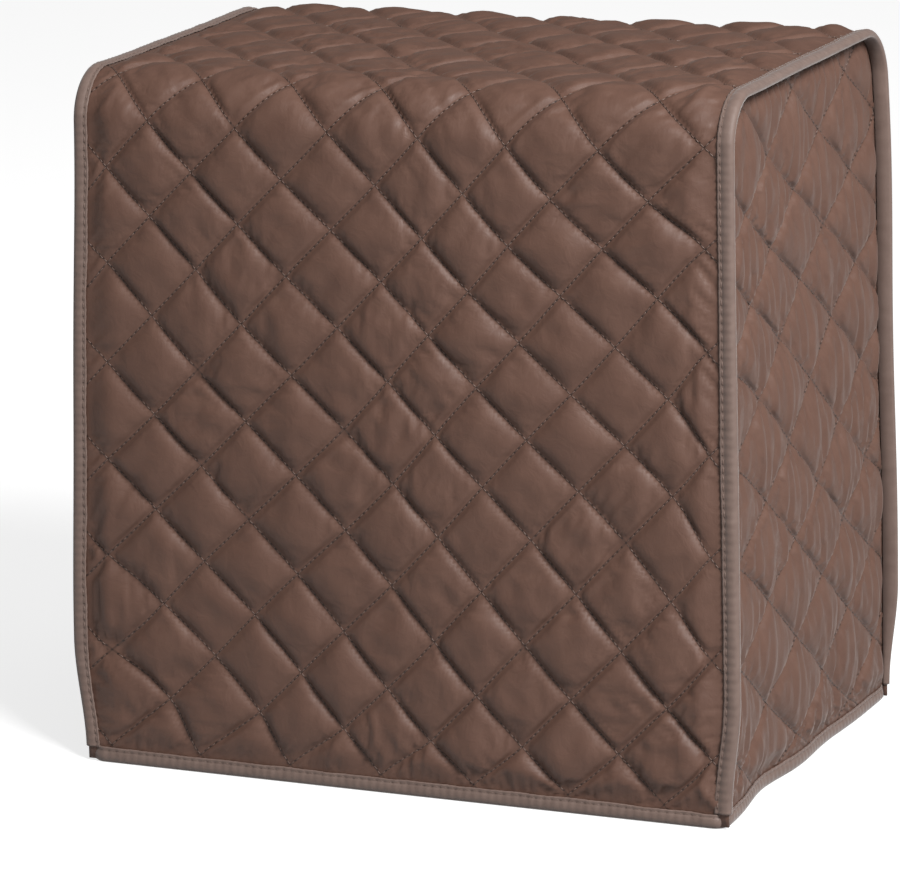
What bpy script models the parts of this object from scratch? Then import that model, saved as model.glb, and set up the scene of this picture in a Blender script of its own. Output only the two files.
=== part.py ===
"""Quilted cloth cover for a countertop blender, open at the bottom and standing on its hem.

Metres, +Z up, front towards -Y, right side towards +X. The origin is on the floor, under the middle.
"""

from math import ceil, cos, exp, floor, pi, sin, sqrt

import bmesh
import bpy
from mathutils import Vector

# Overall sizes
WIDTH = 0.387  # over the two seam bindings
DEPTH = 0.250  # over the front and back bindings
CROWN = 0.3848  # height of the top's cloth, half way through its thickness
FOLD_RADIUS = 0.026  # where the front and the back turn into the top
FLARE_X = 0.0047  # the hem stands out this much past the top at each side
FLARE_Y = 0.0129  # and this much at the front and the back

# Quilted cloth: two faces with wadding between, thin along every row of quilting
ROW_SPACING = 0.0381  # between parallel rows of quilting, 1.5 in
DIAMOND = ROW_SPACING * sqrt(2)  # corner to corner of one diamond
THIN_OUT = 0.0011  # the middle of the cloth to its outer face at a row of quilting
THIN_IN = 0.0005  # and to its inner face
PUFF_OUT = 0.0044  # how far a diamond's middle stands out past the rows
PUFF_IN = 0.0016
EDGE_FADE = 0.022  # a diamond flattens over this distance from a seam
UNEVEN = 0.14  # one diamond against the next

# Binding: a strip of plain cloth folded over a raw edge
TAPE = 0.0012  # thickness of each of its leaves
CLEARANCE = 0.0004  # between the tape and the cloth inside it
GAP = 0.0003  # between pieces that meet edge to edge
SEAM_LEAF = 0.0070
HEM_LEAF = 0.0105
HEM_CORNER = 0.006  # radius of the hem at a corner, at the middle of the cloth
SIDE_CORNER = 0.028  # radius of a side panel's top corners
CORNER_EASE = 0.0016  # they are cut this far inside the fold over them
FLAT_WEB = 0.0024  # width of the flat along a binding's outer edge, which the hem stands on
FOOT = 0.07  # the seam's flange has its full width above this height
FOOT_SHARE = 0.25  # and this share of it where the hem gathers it in

# Places that follow from the sizes above
TAPE_BUILD = THIN_OUT + CLEARANCE + TAPE  # the middle of the cloth to the tape's outer face
RAW_EDGE_X = WIDTH / 2 - TAPE - CLEARANCE
SEAM_X = RAW_EDGE_X - SEAM_LEAF
SIDE_X = SEAM_X - 2 * GAP - THIN_OUT  # middle of the side panels' cloth
FRONT_Y = DEPTH / 2 - TAPE_BUILD  # middle of the front's cloth, without its sign
RAW_EDGE_Z = TAPE + CLEARANCE
HEM_TOP = RAW_EDGE_Z + HEM_LEAF
FLANGE_FOOT = HEM_TOP + GAP
HEM_END_X = SIDE_X - HEM_CORNER
HEM_END_Y = FRONT_Y - HEM_CORNER

# Length of the long strip, from its front raw edge over the top to its back one
RISE = CROWN - FOLD_RADIUS - RAW_EDGE_Z
TURN = FOLD_RADIUS * pi / 2
FLAT_TOP = 2 * (FRONT_Y - FOLD_RADIUS)
STRIP_LENGTH = 2 * RISE + 2 * TURN + FLAT_TOP

# Spacing of the points that the solids are made from
QUARTER = DIAMOND / 4
OFF_SEAM = 0.004  # the quilting's lines of points stay this far from the lines along a seam
ONTO_SEAM = 0.0035  # a point of a side panel this near one of its straight edges is moved onto it
SIDE_REACH = 24  # quarter diamonds from the first crossing that are sure to pass the panel's edges
CORNER_CUTS = 5  # straight cuts that round each top corner of a side panel
HEM_CORNER_STEPS = 5
HEM_STEP_FRONT = 0.024
HEM_STEP_SIDE = 0.013
SAME_PLACE = 1e-5
SHARP_ANGLE = 0.9

# Quilting on each kind of panel: where two rows cross, and one diamond across and down
STRIP_QUILT = {"cross": (-0.1454, 0.3589), "across": (DIAMOND, 0.0), "down": (0.0, -DIAMOND)}
SIDE_QUILT = {"cross": (0.0407, 0.3437), "across": (0.0814, -0.0037), "down": (0.0042, -0.0543)}

# Where the rows wander from straight: middle, reach and move in the flat cloth, all in mm
STRIP_WANDER = (
    # name, u, v, reach u, reach v, move u, move v
    ("low_left", -130, 55, 75, 65, 11.2, 4.6),
    ("low_middle", -10, 55, 75, 65, 2.3, -6.5),
    ("low_right", 120, 55, 75, 65, 1.2, -1.7),
    ("belt_left", -130, 150, 75, 65, 1.5, -0.2),
    ("belt_middle", -10, 150, 75, 65, 9.1, -0.2),
    ("belt_right", 120, 150, 75, 65, 8.2, 5.4),
    ("chest_middle", -10, 245, 75, 65, 6.2, 1.2),
    ("chest_right", 120, 245, 75, 65, 2.9, -0.6),
    ("high_left", -130, 335, 75, 65, -1.8, 0.2),
    ("high_middle", -10, 335, 75, 65, 0.2, -1.9),
    ("high_right", 120, 335, 75, 65, -6.4, -3.7),
)
SIDE_WANDER = (
    # name, u, v, reach u, reach v, move u, move v
    ("belt_near", -80, 150, 75, 60, 4.4, 2.3),
    ("belt_far", 50, 150, 75, 60, -3.4, -1.9),
    ("chest_near", -80, 240, 75, 60, 2.3, 2.2),
    ("chest_far", 50, 240, 75, 60, -3.5, 5.1),
    ("high_near", -80, 330, 75, 60, -1.0, -4.0),
    ("high_far", 50, 330, 75, 60, -3.0, 0.5),
)
WANDER_FADE = 0.030  # the rows' ends stay put, this near a seam

# Main folds: middle of each, how far it reaches and how far it moves the cloth, all in mm
FOLDS = (
    # name, x, y, z, reach x, reach y, reach z, move x, move y, move z
    ("front_belly", 10, -122, 190, 120, 60, 130, 0, -4, 0),
    ("left_edge_low", -190, -122, 75, 70, 90, 75, -2.3, 0, 0),
    ("left_edge_top", -190, -122, 350, 70, 90, 90, 3, 0, 0),
    ("back_edge_low", 190, 122, 120, 60, 60, 100, 1.8, 0, 0),
    ("back_edge_top", 190, 122, 320, 60, 60, 100, 4.5, 0, 0),
    ("front_dip", 0, -118, 385, 400, 60, 60, 0, 0, -1.9),
    ("top_sag_front", 0, -62, 380, 150, 42, 60, 0, 0, -4),
    ("back_crest", 0, 118, 385, 400, 75, 60, 0, 0, 5.3),
    ("back_crest_sag", 60, 118, 385, 110, 75, 60, 0, 0, -3),
    ("back_slack", 20, 122, 170, 130, 60, 120, 0, 4, 0),
    ("side_hollow", 184, -30, 300, 50, 60, 70, -3, 0, 0),
    ("side_belly", 184, 20, 140, 50, 90, 110, 4, 0, 0),
    ("left_belly", -184, 10, 150, 50, 90, 110, -4, 0, 0),
    ("hem_wave_near", 184, -55, 0, 60, 34, 55, -6, 0, 0),
    ("hem_wave_far", 184, 30, 0, 60, 34, 55, -2.6, 0, 0),
)
MM = 0.001
SCATTER = (12.9898, 78.233, 43758.5453)  # for one diamond unlike the next
FLOOR_HOLD = 0.04  # below this height the cloth is moved up or down less and less, to none at the floor

COLOURS = {"quilted": (0.105, 0.075, 0.063), "tape": (0.078, 0.056, 0.048)}


def smooth(t):
    t = min(max(t, 0.0), 1.0)
    return t * t * (3 - 2 * t)


def drape(point):
    """Moves a point of the straight cover to where the soft one hangs."""
    lower = 0.5 - point[2] / CROWN
    moved = Vector(point)
    moved.x *= 1 + FLARE_X / (WIDTH / 2) * lower
    moved.y *= 1 + FLARE_Y / (DEPTH / 2) * lower
    for _, x, y, z, reach_x, reach_y, reach_z, move_x, move_y, move_z in FOLDS:
        away = (
            ((point[0] / MM - x) / reach_x) ** 2
            + ((point[1] / MM - y) / reach_y) ** 2
            + ((point[2] / MM - z) / reach_z) ** 2
        )
        share = exp(-away)
        moved.x += move_x * MM * share
        moved.y += move_y * MM * share
        moved.z += move_z * MM * share * smooth(point[2] / FLOOR_HOLD)
    return moved


def wandered(table, u, v, from_seam):
    """Moves a place in the flat cloth to where its row of quilting really runs."""
    moved_u, moved_v = u, v
    hold = smooth(from_seam / WANDER_FADE) * MM
    for _, at_u, at_v, reach_u, reach_v, move_u, move_v in table:
        away = ((u / MM - at_u) / reach_u) ** 2 + ((v / MM - at_v) / reach_v) ** 2
        moved_u += move_u * hold * exp(-away)
        moved_v += move_v * hold * exp(-away)
    return moved_u, moved_v


def flange_share(z):
    """How much of its full width the seam's flange has at a height."""
    return FOOT_SHARE + (1 - FOOT_SHARE) * smooth((z - FLANGE_FOOT) / (FOOT - FLANGE_FOOT))


def flange_x(x, z):
    beyond = abs(x) - SEAM_X
    if beyond <= 0:
        return x
    return (SEAM_X + beyond * flange_share(z)) * (1 if x > 0 else -1)


def strip_profile(along):
    """(y, z) of the middle of the strip's cloth, and the (y, z) that points out of it."""
    half = STRIP_LENGTH / 2
    side = -1 if along < half else 1
    run = half - abs(along - half)
    if run <= RISE:
        return side * FRONT_Y, RAW_EDGE_Z + run, side, 0.0
    if run <= RISE + TURN:
        angle = (run - RISE) / FOLD_RADIUS
        y = FRONT_Y - FOLD_RADIUS * (1 - cos(angle))
        return side * y, CROWN - FOLD_RADIUS * (1 - sin(angle)), side * cos(angle), sin(angle)
    return side * (FRONT_Y - FOLD_RADIUS - (run - RISE - TURN)), CROWN, 0.0, 1.0


def strip_place(x, along, out):
    y, z, out_y, out_z = strip_profile(along)
    return drape((flange_x(x, z), y + out_y * out, z + out_z * out))


def quilt_cell(quilt, u, v):
    """Place in the quilting: both numbers are whole on a row, and their floors name the diamond."""
    du, dv = u - quilt["cross"][0], v - quilt["cross"][1]
    (au, av), (bu, bv) = quilt["across"], quilt["down"]
    det = au * bv - av * bu
    across, down = (du * bv - dv * bu) / det, (au * dv - av * du) / det
    return across + down, across - down


def puff(quilt, u, v, from_seam):
    """0 on a row of quilting and at a seam, about 1 in the middle of a diamond."""
    a, b = quilt_cell(quilt, u, v)
    fa, fb = a - floor(a), b - floor(b)
    pillow = sqrt(max(16 * fa * (1 - fa) * fb * (1 - fb), 0.0))
    which = sin(SCATTER[0] * floor(a) + SCATTER[1] * floor(b)) * SCATTER[2]
    tilt = 1 + UNEVEN * (2 * (which - floor(which)) - 1)
    return pillow * tilt * smooth(from_seam / EDGE_FADE)


def quad_faces(i, j, corners):
    """Two triangles that leave a crease along a row of quilting; i and j count quarter diamonds."""
    low, right, far, left = corners
    on_row = (i - j) % 4 == 0
    beside_middle = (i - j) % 2 == 1 and (i + j + 1) % 4 != 0
    if on_row or beside_middle:
        return [(low, right, far), (low, far, left)]
    return [(low, right, left), (right, far, left)]


def material(kind, roughness):
    made = bpy.data.materials.new(kind)
    made.use_nodes = True
    shader = made.node_tree.nodes["Principled BSDF"]
    shader.inputs["Base Color"].default_value = (*COLOURS[kind], 1.0)
    shader.inputs["Roughness"].default_value = roughness
    shader.inputs["Metallic"].default_value = 0.0
    return made


def add_object(name, points, faces, finish):
    mesh = bpy.data.meshes.new(name)
    mesh.from_pydata([tuple(p) for p in points], [], faces)
    bm = bmesh.new()
    bm.from_mesh(mesh)
    bmesh.ops.recalc_face_normals(bm, faces=bm.faces)
    bm.to_mesh(mesh)
    bm.free()
    mesh.shade_smooth()
    mesh.set_sharp_from_angle(angle=SHARP_ANGLE)
    mesh.materials.append(finish)
    made = bpy.data.objects.new(name, mesh)
    bpy.context.scene.collection.objects.link(made)
    return made


def counted_lines(start, step, low, high):
    """(index, place) of the grid lines between two places."""
    first, last = sorted(((low - start) / step, (high - start) / step))
    return [(k, start + k * step) for k in range(ceil(first), floor(last) + 1)]


def strip_columns():
    """(index, x) across the strip: the quilting's quarter lines, then the hem's end, seam and raw edge."""
    inside = HEM_END_X - OFF_SEAM
    lines = counted_lines(STRIP_QUILT["cross"][0], QUARTER, -inside, inside)
    first, last = lines[0][0], lines[-1][0]
    left = [(first - 3, -RAW_EDGE_X), (first - 2, -SEAM_X), (first - 1, -HEM_END_X)]
    right = [(last + 1, HEM_END_X), (last + 2, SEAM_X), (last + 3, RAW_EDGE_X)]
    return left + lines + right


def strip_rows():
    """(index, distance) along the strip, with its hem lines and raw edges."""
    hem = HEM_TOP + GAP - RAW_EDGE_Z
    low, high = hem + OFF_SEAM, STRIP_LENGTH - hem - OFF_SEAM
    lines = counted_lines(STRIP_QUILT["cross"][1], -QUARTER, low, high)
    lines = sorted(lines, key=lambda line: line[1])
    first, last = lines[0][0], lines[-1][0]
    front_end = [(first + 2, 0.0), (first + 1, hem)]
    back_end = [(last - 1, STRIP_LENGTH - hem), (last - 2, STRIP_LENGTH)]
    return front_end + lines + back_end


def joined_rows(fine, coarse):
    """Triangles between two runs of (place, vertex) that start and end together."""
    faces, i, j = [], 0, 0
    while i < len(fine) - 1 or j < len(coarse) - 1:
        step_fine = j == len(coarse) - 1
        if not step_fine and i < len(fine) - 1:
            step_fine = fine[i + 1][0] <= coarse[j + 1][0] + SAME_PLACE
        if step_fine:
            faces.append((fine[i][1], fine[i + 1][1], coarse[j][1]))
            i += 1
        else:
            faces.append((fine[i][1], coarse[j + 1][1], coarse[j][1]))
            j += 1
    return faces


def make_main_panel(finish):
    """One strip of quilted cloth: front, top and back, with no seam at the folds."""
    columns, rows = strip_columns(), strip_rows()
    last_row, last_column = len(rows) - 1, len(columns) - 1
    seam_lines = (0, 1, 2, last_column - 2, last_column - 1, last_column)
    everywhere = range(last_column + 1)
    inner = [k for k in everywhere if columns[k][0] % 2 == 0 or k in seam_lines]
    points, outer_at, inner_at, faces = [], {}, {}, []

    for m, (_, along) in enumerate(rows):
        for k, (_, x) in enumerate(columns):
            beyond_hem = m in (0, last_row) and k in (0, 1, last_column - 1, last_column)
            if beyond_hem:
                continue
            from_seam = min(SEAM_X - abs(x), along - rows[1][1], rows[-2][1] - along)
            loft = puff(STRIP_QUILT, x, along, from_seam)
            place = wandered(STRIP_WANDER, x, along, from_seam)
            outer_at[k, m] = len(points)
            points.append(strip_place(*place, THIN_OUT + PUFF_OUT * loft))
            if k in inner:
                inner_at[k, m] = len(points)
                points.append(strip_place(*place, -THIN_IN - PUFF_IN * loft))

    def patches(at, chosen):
        """(column, row, corners) of each quad whose corners are all there."""
        for m in range(last_row):
            for k, k2 in zip(chosen, chosen[1:]):
                keys = (k, m), (k2, m), (k2, m + 1), (k, m + 1)
                if all(key in at for key in keys):
                    yield k, m, [at[key] for key in keys]

    for k, m, corners in patches(outer_at, everywhere):
        faces.extend(quad_faces(columns[k][0], -rows[m][0], corners))
    for _, _, corners in patches(inner_at, inner):
        faces.append(tuple(reversed(corners)))

    def edge(start, end):
        """Closes the cloth's raw edge between two grid points."""
        faces.append((outer_at[start], outer_at[end], inner_at[end], inner_at[start]))

    hem_span = range(2, last_column - 1)
    for m in (0, last_row):
        fine = [(columns[k][1], outer_at[k, m]) for k in hem_span]
        coarse = [(columns[k][1], inner_at[k, m]) for k in hem_span if k in inner]
        faces.extend(joined_rows(fine, coarse))
    for k in (0, last_column):
        for m in range(1, last_row - 1):
            edge((k, m), (k, m + 1))
    for k in (0, 1, last_column - 2, last_column - 1):
        for m in (1, last_row - 1):
            edge((k, m), (k + 1, m))
    for k in (2, last_column - 2):
        for m in (0, last_row - 1):
            edge((k, m), (k, m + 1))
    return add_object("main_panel", points, faces, finish)


def side_outline():
    """(point, direction out) of the straight edges of a side panel, then of its corner cuts, as (y, z)."""
    edge_y = FRONT_Y - THIN_IN - GAP
    edge_z = CROWN - THIN_IN - GAP
    straight = [
        ((0.0, RAW_EDGE_Z), (0.0, -1.0)),
        ((0.0, edge_z), (0.0, 1.0)),
        ((-edge_y, 0.0), (-1.0, 0.0)),
        ((edge_y, 0.0), (1.0, 0.0)),
    ]
    corners = []
    reach = SIDE_CORNER - CORNER_EASE
    for side in (-1, 1):
        middle = (side * (edge_y - SIDE_CORNER), edge_z - SIDE_CORNER)
        for step in range(1, CORNER_CUTS + 1):
            angle = step * pi / 2 / (CORNER_CUTS + 1)
            out = (side * cos(angle), sin(angle))
            corners.append(((middle[0] + out[0] * reach, middle[1] + out[1] * reach), out))
    return straight, corners


def cut_sheet(bm, faces, cut, keep_outer):
    """Cuts some faces of a flat sheet along one straight line."""
    (py, pz), (oy, oz) = cut
    parts = {*faces}
    for face in faces:
        parts.update(face.verts)
        parts.update(face.edges)
    bmesh.ops.bisect_plane(
        bm,
        geom=list(parts),
        dist=SAME_PLACE,
        plane_co=(py, pz, 0),
        plane_no=(oy, oz, 0),
        clear_outer=not keep_outer,
    )


def flat_side_panel():
    """The panel as a flat sheet in (y, z), its edges along the quilting's quarter lines."""
    straight, corners = side_outline()
    hem_cut = ((0.0, FLANGE_FOOT), (0.0, 1.0))
    end_cuts = [((side * HEM_END_Y, 0.0), (side, 0.0)) for side in (-1, 1)]
    (cross_y, cross_z), across, down = (SIDE_QUILT[key] for key in ("cross", "across", "down"))
    bm = bmesh.new()
    at = {}
    for i in range(-SIDE_REACH, SIDE_REACH + 1):
        for j in range(-SIDE_REACH // 2, 2 * SIDE_REACH):
            y = cross_y + (i * across[0] + j * down[0]) / 4
            z = cross_z + (i * across[1] + j * down[1]) / 4
            for (py, pz), (oy, oz) in [*straight, hem_cut]:
                off = (y - py) * oy + (z - pz) * oz
                if abs(off) < ONTO_SEAM:
                    y -= off * oy
                    z -= off * oz
            at[i, j] = bm.verts.new((y, z, 0.0))
    for (i, j), low in at.items():
        if (i + 1, j) in at and (i, j + 1) in at:
            quad = (low, at[i + 1, j], at[i + 1, j + 1], at[i, j + 1])
            for face in quad_faces(i, j, quad):
                bm.faces.new(face)
    for cut in straight + corners:
        cut_sheet(bm, bm.faces[:], cut, False)
    for cut in [hem_cut, *end_cuts]:
        near_hem = [f for f in bm.faces if f.calc_center_median().y < 2 * FLANGE_FOOT]
        cut_sheet(bm, near_hem, cut, True)
    below = [f for f in bm.faces if f.calc_center_median().y < FLANGE_FOOT]
    notches = [f for f in below if abs(f.calc_center_median().x) > HEM_END_Y]
    bmesh.ops.delete(bm, geom=notches, context="FACES")
    bmesh.ops.triangulate(bm, faces=bm.faces)
    bm.verts.index_update()
    bm.verts.ensure_lookup_table()
    return bm


def side_distance(y, z):
    """How far a point of the side panel is from its nearest seam."""
    straight, corners = side_outline()
    edges = [(py - y) * oy + (pz - z) * oz for (py, pz), (oy, oz) in straight[1:] + corners]
    return min([*edges, z - FLANGE_FOOT])


def make_side_panel(name, side, finish):
    """A gusset of quilted cloth between the front and the back; side is 1 for the right one."""
    flat = flat_side_panel()
    points, faces = [], []
    for out_way in (1, -1):
        for vert in flat.verts:
            y, z = vert.co.x, vert.co.y
            from_seam = side_distance(y, z)
            loft = puff(SIDE_QUILT, y, z, from_seam)
            out = THIN_OUT + PUFF_OUT * loft if out_way == 1 else -THIN_IN - PUFF_IN * loft
            y, z = wandered(SIDE_WANDER, y, z, from_seam)
            points.append(drape((side * (SIDE_X + out), y, z)))
    count = len(flat.verts)
    for face in flat.faces:
        ring = [v.index for v in face.verts]
        faces.append(ring)
        faces.append([k + count for k in reversed(ring)])
    for edge in flat.edges:
        if edge.is_boundary:
            a, b = (v.index for v in edge.verts)
            faces.append([a, b, b + count, a + count])
    flat.free()
    return add_object(name, points, faces, finish)


def tape_section(leaf):
    """Section of the folded tape: (past the raw edge, out of the cloth), leaves pointing back."""
    inside_out = THIN_OUT + CLEARANCE
    inside_in = -THIN_IN - CLEARANCE
    middle = (inside_out + inside_in) / 2
    web = CLEARANCE + TAPE
    return (
        (-leaf, inside_out),
        (-leaf, inside_out + TAPE),
        (CLEARANCE / 2, inside_out + TAPE),
        (web, middle + FLAT_WEB / 2),
        (web, middle - FLAT_WEB / 2),
        (CLEARANCE / 2, inside_in - TAPE),
        (-leaf, inside_in - TAPE),
        (-leaf, inside_in),
        (CLEARANCE, inside_in),
        (CLEARANCE, inside_out),
    )


def sweep(name, rings, closed, finish):
    """Skins a run of equal sections, capping its ends where it isn't closed."""
    size = len(rings[0])
    points = [p for ring in rings for p in ring]
    faces = []
    for k in range(len(rings) if closed else len(rings) - 1):
        low, high = k * size, (k + 1) % len(rings) * size
        for m in range(size):
            m2 = (m + 1) % size
            faces.append((low + m, low + m2, high + m2, high + m))
    if not closed:
        faces.append(tuple(range(size)))
        faces.append(tuple(range((len(rings) - 1) * size, len(rings) * size)))
    return add_object(name, points, faces, finish)


def seam_stations():
    """Distances along the strip where the seam's tape has a section: all of them at the folds and foot."""
    lines = [along for _, along in strip_rows()[1:-1]]
    lines[0] += GAP
    lines[-1] -= GAP
    chosen = []
    for k, along in enumerate(lines):
        run = min(along, STRIP_LENGTH - along)
        straight = FOOT < run < RISE - QUARTER
        if k % 2 == 0 or not straight:
            chosen.append(along)
    return chosen


def make_seam_binding(name, side, finish):
    """Tape over the seam where the strip's edge and the side panel's are sewn together."""
    rings = []
    for along in seam_stations():
        y, z, out_y, out_z = strip_profile(along)
        edge_x = abs(flange_x(RAW_EDGE_X, z))
        ring = []
        for past, out in tape_section(edge_x - SEAM_X):
            ring.append(drape((side * (edge_x + past), y + out_y * out, z + out_z * out)))
        rings.append(ring)
    return sweep(name, rings, False, finish)


def hem_path():
    """(x, y, out x, out y) round the hem, at the middle of the cloth."""
    path = []
    corners = ((1, -1), (1, 1), (-1, 1), (-1, -1))
    for turn, (side_x, side_y) in enumerate(corners):
        for step in range(HEM_CORNER_STEPS + 1):
            angle = (turn - 1 + step / HEM_CORNER_STEPS) * pi / 2
            out_x, out_y = cos(angle), sin(angle)
            x = side_x * HEM_END_X + HEM_CORNER * out_x
            y = side_y * HEM_END_Y + HEM_CORNER * out_y
            path.append((x, y, out_x, out_y))
        along_side = side_x != side_y
        length = 2 * (HEM_END_Y if along_side else HEM_END_X)
        pieces = ceil(length / (HEM_STEP_SIDE if along_side else HEM_STEP_FRONT))
        for step in range(1, pieces):
            run = length * step / pieces
            path.append((x - out_y * run, y + out_x * run, out_x, out_y))
    return path


def make_hem_binding(finish):
    """Tape over the raw edge at the bottom, in one run round all four corners."""
    rings = []
    for x, y, out_x, out_y in hem_path():
        ring = []
        for past, out in tape_section(HEM_LEAF):
            ring.append(drape((x + out_x * out, y + out_y * out, RAW_EDGE_Z - past)))
        rings.append(ring)
    return sweep("hem_binding", rings, True, finish)


for old in list(bpy.data.objects):
    bpy.data.objects.remove(old)

quilted = material("quilted", 0.72)
tape = material("tape", 0.66)
make_main_panel(quilted)
make_side_panel("side_panel_right", 1, quilted)
make_side_panel("side_panel_left", -1, quilted)
make_seam_binding("seam_binding_right", 1, tape)
make_seam_binding("seam_binding_left", -1, tape)
make_hem_binding(tape)
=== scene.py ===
"""Quilted cloth cover for a countertop blender, as photographed: front, right side and top in view.

Metres, +Z up, front towards -Y. Flat cloth places are (u, v): across and along the long strip,
or y and z on a side.
"""

from math import ceil, cos, floor, pi, radians, sin, sqrt

import bmesh
import bpy
import numpy as np
from mathutils import Matrix, Vector


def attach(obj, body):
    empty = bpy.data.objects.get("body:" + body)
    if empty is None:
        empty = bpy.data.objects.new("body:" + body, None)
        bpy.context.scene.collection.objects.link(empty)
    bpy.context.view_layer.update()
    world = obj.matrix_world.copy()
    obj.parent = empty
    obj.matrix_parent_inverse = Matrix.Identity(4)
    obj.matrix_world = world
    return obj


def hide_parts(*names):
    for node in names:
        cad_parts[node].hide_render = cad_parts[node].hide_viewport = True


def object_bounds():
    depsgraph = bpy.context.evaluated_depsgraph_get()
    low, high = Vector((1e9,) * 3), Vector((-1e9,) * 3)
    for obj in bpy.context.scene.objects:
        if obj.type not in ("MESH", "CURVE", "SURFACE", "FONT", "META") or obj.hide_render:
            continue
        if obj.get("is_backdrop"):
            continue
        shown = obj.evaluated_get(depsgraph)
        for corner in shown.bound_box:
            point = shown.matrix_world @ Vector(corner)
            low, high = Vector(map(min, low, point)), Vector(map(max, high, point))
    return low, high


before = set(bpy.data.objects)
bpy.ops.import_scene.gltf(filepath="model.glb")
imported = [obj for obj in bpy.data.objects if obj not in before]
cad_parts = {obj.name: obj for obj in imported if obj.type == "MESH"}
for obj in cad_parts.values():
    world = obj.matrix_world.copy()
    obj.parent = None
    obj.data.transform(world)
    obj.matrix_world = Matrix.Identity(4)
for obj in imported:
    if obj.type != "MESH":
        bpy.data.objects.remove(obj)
cad_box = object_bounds()

# Long panel: one strip of polyester cloth with wadding behind it, quilted in diamonds, which runs up
# the front, over a rounded fold, across the top and down the back. It is sewn to the side panels along
# both edges.
WIDTH = 0.387
DEPTH = 0.250
CROWN = 0.3848
FOLD_RADIUS = 0.026
FLARE_X = 0.0047
FLARE_Y = 0.0129
ROW_SPACING = 0.0381
DIAMOND = ROW_SPACING * sqrt(2)
THIN_OUT = 0.0011
THIN_IN = 0.0005
PUFF_OUT = 0.0044
PUFF_IN = 0.0016
SEAM_LEAF = 0.0070
EDGE_GAP = 0.0016
SEAM_X = WIDTH / 2 - EDGE_GAP - SEAM_LEAF
SIDE_X = SEAM_X - 0.0017
FRONT_Y = DEPTH / 2 - 0.0027
HEM_TOP = 0.0086
FOOT = 0.07
FOOT_SHARE = 0.25
RISE = CROWN - FOLD_RADIUS - EDGE_GAP
TURN = FOLD_RADIUS * pi / 2
FLAT_TOP = 2 * (FRONT_Y - FOLD_RADIUS)
STRIP_LENGTH = 2 * RISE + 2 * TURN + FLAT_TOP
MM = 0.001

# Large folds of the whole cover: middle, reach and move, in mm
FOLDS = (
    # name, x, y, z, reach x, reach y, reach z, move x, move y, move z
    ("front_belly", 10, -122, 190, 120, 60, 130, 0, -4, 0),
    ("left_edge_low", -190, -122, 75, 70, 90, 75, -2.3, 0, 0),
    ("left_edge_top", -190, -122, 350, 70, 90, 90, 3, 0, 0),
    ("back_edge_low", 190, 122, 120, 60, 60, 100, 1.8, 0, 0),
    ("back_edge_top", 190, 122, 320, 60, 60, 100, 4.5, 0, 0),
    ("front_dip", 0, -118, 385, 400, 60, 60, 0, 0, -1.9),
    ("top_sag_front", 0, -62, 380, 150, 42, 60, 0, 0, -4),
    ("back_crest", 0, 118, 385, 400, 75, 60, 0, 0, 5.3),
    ("back_crest_sag", 60, 118, 385, 110, 75, 60, 0, 0, -3),
    ("back_slack", 20, 122, 170, 130, 60, 120, 0, 4, 0),
    ("side_hollow", 184, -30, 300, 50, 60, 70, -3, 0, 0),
    ("side_belly", 184, 20, 140, 50, 90, 110, 4, 0, 0),
    ("left_belly", -184, 10, 150, 50, 90, 110, -4, 0, 0),
    ("hem_wave_near", 184, -55, 0, 60, 34, 55, -6, 0, 0),
    ("hem_wave_far", 184, 30, 0, 60, 34, 55, -2.6, 0, 0),
)
FLOOR_HOLD = 0.04
STRIP_FADE = 0.016  # a diamond flattens over this distance from a seam
WADDING_PULL = 0.03
SETTLE_STEPS = 140
STITCH_LENGTH = 0.0028
STITCH_RADIUS = 0.00028
ON_SEAM = 0.0008  # no stitch is sewn nearer to a seam

# Lattice of the quilting on the strip, and how finely the cloth is meshed: steps to a diamond
STRIP_QUILT = {"cross": (-0.1454, 0.3589), "across": (DIAMOND, 0.0), "down": (0.0, -DIAMOND), "steps": 24}


def smooth(t):
    t = np.clip(t, 0.0, 1.0)
    return t * t * (3 - 2 * t)


def drape(points):
    """Moves points of the straight cover to where the soft one hangs."""
    moved = points.copy()
    lower = 0.5 - points[..., 2] / CROWN
    moved[..., 0] *= 1 + FLARE_X / (WIDTH / 2) * lower
    moved[..., 1] *= 1 + FLARE_Y / (DEPTH / 2) * lower
    hold = smooth(points[..., 2] / FLOOR_HOLD)
    for _, x, y, z, reach_x, reach_y, reach_z, move_x, move_y, move_z in FOLDS:
        away = (points / MM - (x, y, z)) / (reach_x, reach_y, reach_z)
        share = np.exp(-(away**2).sum(-1))
        moved[..., 0] += move_x * MM * share
        moved[..., 1] += move_y * MM * share
        moved[..., 2] += move_z * MM * share * hold
    return moved


def strip_place(x, along, out):
    """Places of the strip's cloth, given how far out of its middle plane each point lies."""
    half = STRIP_LENGTH / 2
    side = np.where(along < half, -1.0, 1.0)
    run = half - np.abs(along - half)
    angle = np.clip((run - RISE) / FOLD_RADIUS, 0.0, pi / 2)
    y = FRONT_Y - FOLD_RADIUS * (1 - np.cos(angle)) - np.maximum(run - RISE - TURN, 0)
    z = np.minimum(EDGE_GAP + run, CROWN - FOLD_RADIUS) + FOLD_RADIUS * np.sin(angle)
    share = FOOT_SHARE + (1 - FOOT_SHARE) * smooth((z - HEM_TOP) / (FOOT - HEM_TOP))
    beyond = np.maximum(np.abs(x) - SEAM_X, 0) * share
    x = np.sign(x) * (np.minimum(np.abs(x), SEAM_X) + beyond)
    points = np.stack([x, side * (y + np.cos(angle) * out), z + np.sin(angle) * out], -1)
    return drape(points)


def quilt_place(quilt, u, v):
    """The quilting's own coordinates: a and b are whole along its rows."""
    du, dv = u - quilt["cross"][0], v - quilt["cross"][1]
    (au, av), (bu, bv) = quilt["across"], quilt["down"]
    det = au * bv - av * bu
    across, down = (du * bv - dv * bu) / det, (au * dv - av * du) / det
    return across + down, across - down


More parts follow.
